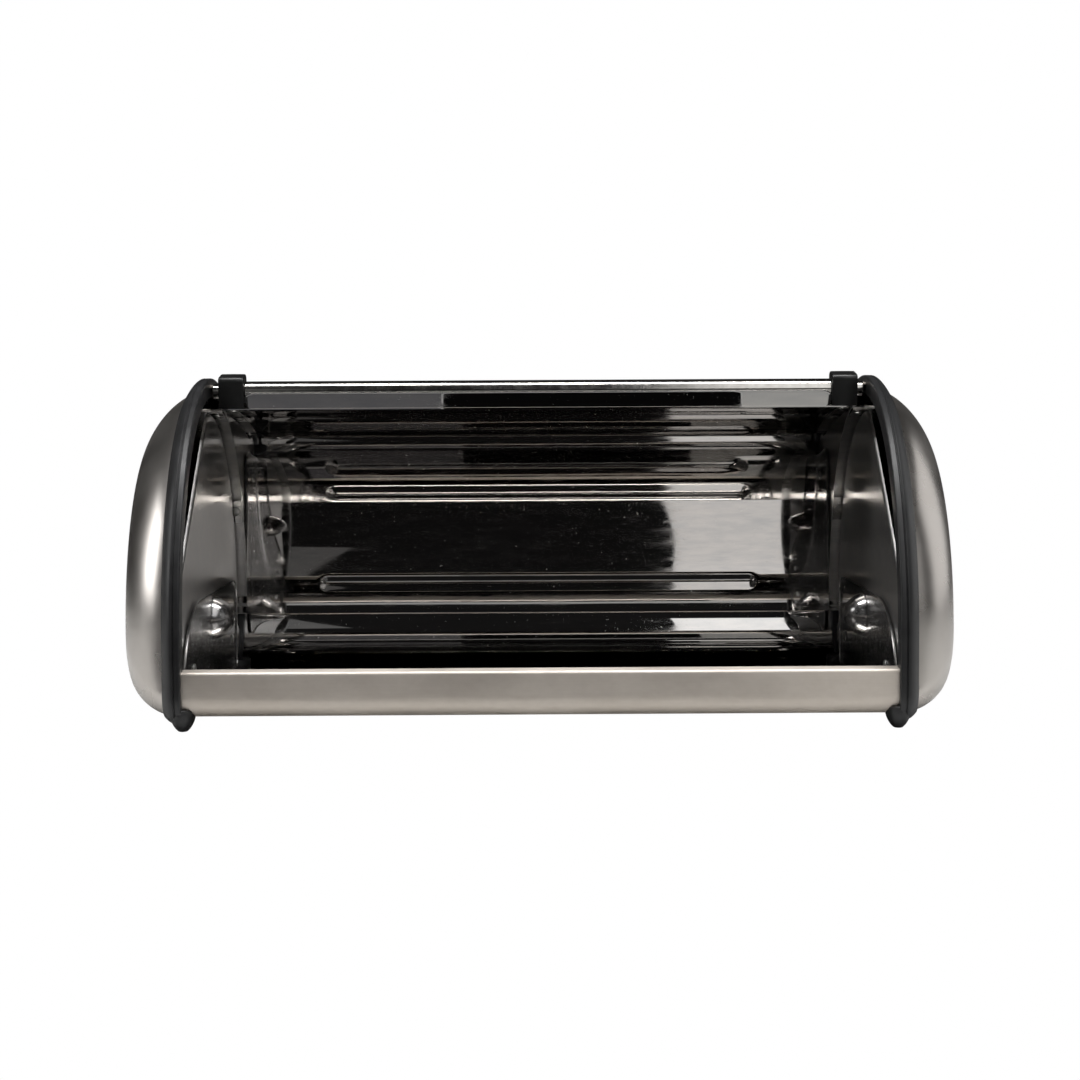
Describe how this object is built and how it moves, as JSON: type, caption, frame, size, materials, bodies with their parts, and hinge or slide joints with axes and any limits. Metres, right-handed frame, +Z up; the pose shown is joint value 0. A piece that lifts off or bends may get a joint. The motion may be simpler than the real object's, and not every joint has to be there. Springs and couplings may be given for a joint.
{
  "type": "roll-top bread box",
  "caption": "Steel bread box with two domed ends in black trims and a curved lid that rolls up inside the body, with a tube handle along its edge.",
  "frame": {"origin": "on the table, midway between the two ends and straight below the lid's pivots", "axes": "+X to the right end seen from the mouth, +Y to the back, +Z up; the mouth faces -Y"},
  "size_m": [0.44, 0.274, 0.1867],
  "materials": {
    "brushed_body": "brushed stainless steel sheet, grain along the box",
    "brushed_dome": "brushed and lightly satin-blasted pressed stainless steel",
    "mirror_lid": "mirror-polished stainless steel inside face",
    "mirror_panel": "mirror-polished stainless steel",
    "black_trim": "moulded matt black plastic",
    "black_mount": "moulded satin black plastic",
    "bright_tube": "polished stainless tube",
    "fastener": "zinc-bright steel",
    "nylon": "natural nylon"
  },
  "bodies": {
    "body": {"floor_pan": "brushed_body", "back_top_shell": "brushed_body", "left_end_trim": "black_trim", "right_end_trim": "black_trim", "left_end_dome": "brushed_dome", "right_end_dome": "brushed_dome", "left_end_panel": "mirror_panel", "right_end_panel": "mirror_panel", "left_pivot_bracket": "mirror_panel", "right_pivot_bracket": "mirror_panel", "left_bracket_rivet_front": "fastener", "right_bracket_rivet_front": "fastener", "left_bracket_rivet_rear": "fastener", "right_bracket_rivet_rear": "fastener", "left_pivot_pin": "fastener", "right_pivot_pin": "fastener", "left_pivot_washer": "fastener", "right_pivot_washer": "fastener", "left_pivot_clip": "fastener", "right_pivot_clip": "fastener"},
    "lid": {"lid_sheet": "mirror_lid", "handle_tube": "bright_tube", "left_lid_arm": "mirror_panel", "right_lid_arm": "mirror_panel", "left_pivot_bush": "nylon", "right_pivot_bush": "nylon", "left_arm_rivet_rear": "fastener", "right_arm_rivet_rear": "fastener", "left_arm_rivet_front": "fastener", "right_arm_rivet_front": "fastener", "left_handle_spigot": "bright_tube", "right_handle_spigot": "bright_tube", "left_handle_mount": "black_mount", "right_handle_mount": "black_mount", "left_mount_screw": "fastener", "right_mount_screw": "fastener"}
  },
  "joints": [
    {"name": "lid_hinge", "type": "hinge", "parent": "body", "child": "lid", "pos_m": [0, 0, 0.0476], "axis": [1, 0, 0], "range_deg": [0, 83]}
  ]
}
